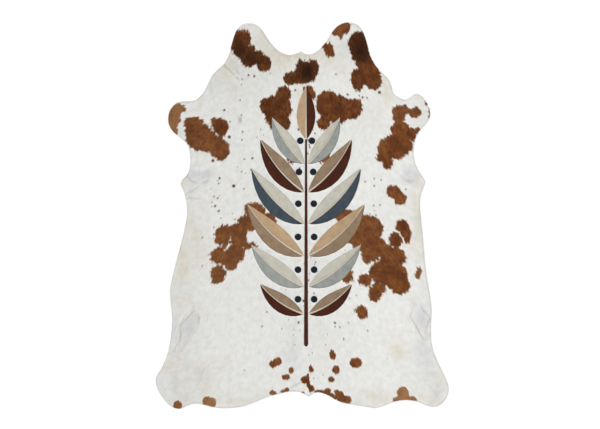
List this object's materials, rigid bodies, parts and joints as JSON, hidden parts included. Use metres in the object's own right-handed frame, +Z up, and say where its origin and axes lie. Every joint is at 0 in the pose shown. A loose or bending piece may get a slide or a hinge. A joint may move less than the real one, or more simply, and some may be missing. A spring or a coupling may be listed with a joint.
{
  "type": "cowhide rug",
  "caption": "White hair-on cowhide with red-brown patches, laid flat as a rug, with an upright spray of leaves cut from dyed hide sewn over its middle.",
  "frame": {"origin": "on the floor, under the middle of the hide's outline", "axes": "+X across the hide, +Y along the spine from the tail to the neck, +Z up from the floor, out of the hair side"},
  "size_m": [1.8152, 2.398, 0.0118],
  "materials": {
    "hide": "short glossy white hair with red-brown patches over natural suede",
    "dyed_cream": "short cream hair",
    "dyed_pale_grey": "short pale warm grey hair",
    "dyed_grey": "short grey hair",
    "dyed_taupe": "short taupe hair",
    "dyed_tan": "short tan hair",
    "dyed_brown": "short dark red-brown hair",
    "dyed_slate": "short slate blue hair",
    "dyed_navy": "short blue-black hair"
  },
  "bodies": {
    "root": {"hide": "hide", "stem": "dyed_brown", "leaf_left_1_rib": "dyed_cream", "leaf_left_1_upper": "dyed_taupe", "leaf_left_1_lower": "dyed_brown", "leaf_right_1_rib": "dyed_cream", "leaf_right_1_upper": "dyed_taupe", "leaf_right_1_lower": "dyed_brown", "leaf_left_2_rib": "dyed_cream", "leaf_left_2_upper": "dyed_pale_grey", "leaf_left_2_lower": "dyed_grey", "leaf_right_2_rib": "dyed_cream", "leaf_right_2_upper": "dyed_pale_grey", "leaf_right_2_lower": "dyed_grey", "leaf_left_3_rib": "dyed_cream", "leaf_left_3_upper": "dyed_tan", "leaf_left_3_lower": "dyed_taupe", "leaf_right_3_rib": "dyed_cream", "leaf_right_3_upper": "dyed_tan", "leaf_right_3_lower": "dyed_taupe", "leaf_left_4_rib": "dyed_cream", "leaf_left_4_upper": "dyed_pale_grey", "leaf_left_4_lower": "dyed_slate", "leaf_right_4_rib": "dyed_cream", "leaf_right_4_upper": "dyed_pale_grey", "leaf_right_4_lower": "dyed_slate", "leaf_left_5_rib": "dyed_cream", "leaf_left_5_upper": "dyed_taupe", "leaf_left_5_lower": "dyed_brown", "leaf_right_5_rib": "dyed_cream", "leaf_right_5_upper": "dyed_taupe", "leaf_right_5_lower": "dyed_brown", "leaf_left_6_rib": "dyed_cream", "leaf_left_6_upper": "dyed_pale_grey", "leaf_left_6_lower": "dyed_grey", "leaf_right_6_rib": "dyed_cream", "leaf_right_6_upper": "dyed_pale_grey", "leaf_right_6_lower": "dyed_grey", "leaf_top_rib": "dyed_cream", "leaf_top_upper": "dyed_tan", "leaf_top_lower": "dyed_brown", "berry_left_1": "dyed_navy", "berry_left_2": "dyed_navy", "berry_left_3": "dyed_navy", "berry_left_4": "dyed_navy", "berry_left_5": "dyed_navy", "berry_left_6": "dyed_navy", "berry_right_1": "dyed_navy", "berry_right_2": "dyed_navy", "berry_right_3": "dyed_navy", "berry_right_4": "dyed_navy", "berry_right_5": "dyed_navy", "berry_right_6": "dyed_navy"}
  },
  "joints": []
}
